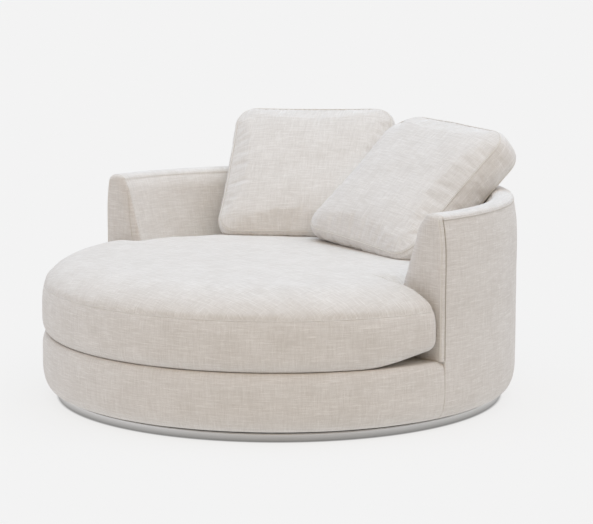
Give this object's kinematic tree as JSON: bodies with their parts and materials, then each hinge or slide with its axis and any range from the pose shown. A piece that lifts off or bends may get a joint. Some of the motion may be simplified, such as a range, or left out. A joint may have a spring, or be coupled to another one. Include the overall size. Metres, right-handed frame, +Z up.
{
  "type": "swivel armchair",
  "caption": "Round upholstered swivel armchair: padded drum, wrap-around arms and back, crowned T-shaped seat cushion and loose boxed back pillows on a low metal plinth.",
  "frame": {"origin": "on the floor, on the swivel axis: the middle of the centre glide's underside", "axes": "+Z up along the swivel axis; -Y towards the front of the chair at rest, where the seat is open; +X to the sitter's left (to the viewer's right from the front)"},
  "size_m": [1.5516, 1.554, 0.8707],
  "materials": {
    "upholstery": "woven, ivory",
    "cushion_fabric": "woven, ivory",
    "pillow_fabric": "woven, ivory",
    "foam": "cut foam and fibre filling",
    "timber": "plain birch plywood",
    "brushed_steel": "brushed",
    "zinc": "zinc plated",
    "glide_plastic": "matt black",
    "elastic": "woven elastic webbing",
    "zip_tape": "zip tape with coil"
  },
  "bodies": {
    "plinth": {"plinth_board": "timber", "plinth_trim_ring": "brushed_steel", "centre_glide": "glide_plastic", "floor_glide_1": "glide_plastic", "floor_glide_2": "glide_plastic", "floor_glide_3": "glide_plastic", "floor_glide_4": "glide_plastic", "floor_glide_5": "glide_plastic", "floor_glide_6": "glide_plastic", "bearing_lower_plate": "zinc", "bearing_screw_1": "zinc", "bearing_screw_2": "zinc", "bearing_screw_3": "zinc"},
    "ball_cage": {"bearing_ball_cage": "zinc"},
    "chair": {"bearing_upper_plate": "zinc", "bearing_bolt_1": "zinc", "bearing_bolt_2": "zinc", "bearing_bolt_3": "zinc", "base_board": "timber", "drum_post_1": "timber", "drum_post_2": "timber", "drum_post_3": "timber", "drum_post_4": "timber", "drum_post_5": "timber", "drum_post_6": "timber", "deck_ring": "timber", "webbing_cross_1": "elastic", "webbing_cross_2": "elastic", "webbing_cross_3": "elastic", "webbing_cross_4": "elastic", "webbing_cross_5": "elastic", "webbing_long_1": "elastic", "webbing_long_2": "elastic", "webbing_long_3": "elastic", "webbing_long_4": "elastic", "webbing_long_5": "elastic", "deck_pad": "foam", "back_post_1": "timber", "back_post_2": "timber", "back_post_3": "timber", "back_post_4": "timber", "back_post_5": "timber", "back_top_rail": "timber", "shell_inner_pad": "upholstery", "shell_top_cover": "upholstery", "shell_outer_cover": "upholstery", "arm_front_cover_left": "upholstery", "arm_front_cover_right": "upholstery", "arm_end_panel_left": "timber", "arm_end_panel_right": "timber", "drum_front_cover": "upholstery"},
    "seat_cushion": {"seat_cushion_cover": "cushion_fabric", "seat_cushion_zip": "zip_tape", "seat_cushion_core": "foam"},
    "pillow_left": {"pillow_left_cover": "pillow_fabric", "pillow_left_zip": "zip_tape", "pillow_left_filling": "foam"},
    "pillow_right": {"pillow_right_cover": "pillow_fabric", "pillow_right_zip": "zip_tape", "pillow_right_filling": "foam"}
  },
  "joints": [
    {"name": "swivel", "type": "hinge", "parent": "plinth", "child": "chair", "pos_m": [0, 0, 0.03], "axis": [0, 0, 1], "continuous": true},
    {"name": "ball_cage_turn", "type": "hinge", "parent": "plinth", "child": "ball_cage", "pos_m": [0, 0, 0.03], "axis": [0, 0, 1], "continuous": true},
    {"name": "seat_cushion_lift", "type": "slide", "parent": "chair", "child": "seat_cushion", "axis": [0, 0, 1], "range_m": [0, 0.15]},
    {"name": "pillow_left_lift", "type": "slide", "parent": "seat_cushion", "child": "pillow_left", "axis": [-0.2957, 0.4607, 0.8369], "range_m": [0, 0.25]},
    {"name": "pillow_right_lift", "type": "slide", "parent": "seat_cushion", "child": "pillow_right", "axis": [0, 0, 1], "range_m": [0, 0.25]}
  ],
  "couplings": [
    {"joint": "ball_cage_turn", "follows": "swivel", "ratio": 0.5}
  ]
}
